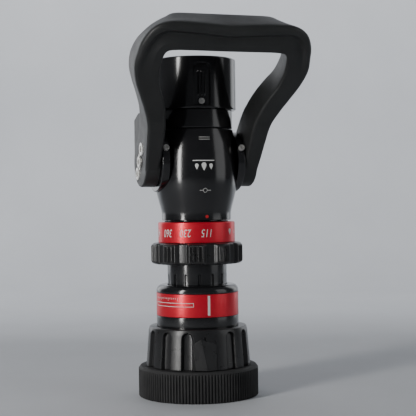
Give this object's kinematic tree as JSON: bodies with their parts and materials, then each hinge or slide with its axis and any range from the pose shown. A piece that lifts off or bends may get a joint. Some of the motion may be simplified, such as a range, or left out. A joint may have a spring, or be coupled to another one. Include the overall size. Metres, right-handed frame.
{
  "type": "fire hose nozzle",
  "caption": "Selectable-flow fire hose nozzle with a bail handle that works a ball valve, a turning flow grip, a turning pattern tip with a rubber bumper and a swivel hose inlet.",
  "frame": {"origin": "middle of the bottom of the whole outline, at the bumper's lower face", "axes": "+Z along the nozzle's own axis, from the outlet to the hose inlet; -Y is the front, with the index line and the handle leaning towards it; X along the handle's pivot"},
  "size_m": [0.1298, 0.1375, 0.2788],
  "materials": {
    "black_anodised": "hard anodised black, satin gloss",
    "red_anodised": "anodised red, satin",
    "black_nylon": "moulded, semi-gloss",
    "bail_black": "moulded, satin",
    "bumper_rubber": "matte moulded rubber",
    "seal_rubber": "smooth rubber",
    "stainless": "machined stainless steel",
    "seat_polymer": "machined polymer",
    "bronze": "machined bronze",
    "index_red": "moulded red insert"
  },
  "bodies": {
    "valve": {"valve_body": "black_anodised", "inlet_tail": "black_anodised", "upstream_seat": "seat_polymer", "downstream_seat": "seat_polymer", "tail_seal": "seal_rubber", "barrel": "black_anodised", "barrel_seal": "seal_rubber", "stem": "stainless", "baffle_head": "black_anodised", "baffle_nut": "stainless", "index_dot": "index_red", "stop_screw_left": "stainless", "stop_screw_right": "stainless", "trunnion_bushing_left": "bronze", "trunnion_bushing_right": "bronze", "trunnion_seal_left": "seal_rubber", "trunnion_seal_right": "seal_rubber"},
    "handle": {"bail_handle": "bail_black", "handle_screw_upper_left": "stainless", "handle_screw_upper_right": "stainless", "handle_screw_lower_left": "stainless", "handle_screw_lower_right": "stainless", "trunnion_left": "stainless", "trunnion_right": "stainless", "valve_ball": "stainless"},
    "flow_selector": {"flow_grip": "black_nylon", "flow_dial": "red_anodised", "metering_disc": "bronze", "drive_pin": "stainless", "detent_ball": "stainless"},
    "pattern_carrier": {"guide_ring": "bronze"},
    "tip": {"bumper_ring": "bumper_rubber", "fog_teeth_ring": "bumper_rubber", "tip_grip": "black_nylon", "pattern_sleeve": "black_anodised", "pattern_band": "red_anodised", "sleeve_collar": "black_anodised", "collar_seal": "seal_rubber"},
    "coupling": {"swivel_coupling": "black_anodised", "swivel_bearing": "stainless", "swivel_seal": "seal_rubber", "inlet_gasket": "seal_rubber", "inlet_screen": "stainless", "ball_port_screw": "stainless"}
  },
  "joints": [
    {"name": "bail_pivot", "type": "hinge", "parent": "valve", "child": "handle", "pos_m": [0, 0.02275, 0.1775], "axis": [1, 0, 0], "range_deg": [0, 90]},
    {"name": "flow_turn", "type": "hinge", "parent": "valve", "child": "flow_selector", "pos_m": [0, 0.02275, 0.11], "axis": [0, 0, 1], "range_deg": [0, 120]},
    {"name": "coupling_swivel", "type": "hinge", "parent": "valve", "child": "coupling", "pos_m": [0, 0.02275, 0.235], "axis": [0, 0, 1], "continuous": true},
    {"name": "pattern_slide", "type": "slide", "parent": "valve", "child": "pattern_carrier", "axis": [0, 0, 1], "range_m": [0, 0.012]},
    {"name": "pattern_turn", "type": "hinge", "parent": "pattern_carrier", "child": "tip", "pos_m": [0, 0.02275, 0.03], "axis": [0, 0, 1], "range_deg": [0, 150]}
  ],
  "couplings": [
    {"joint": "pattern_turn", "follows": "pattern_slide", "rad_per_m": 218}
  ]
}
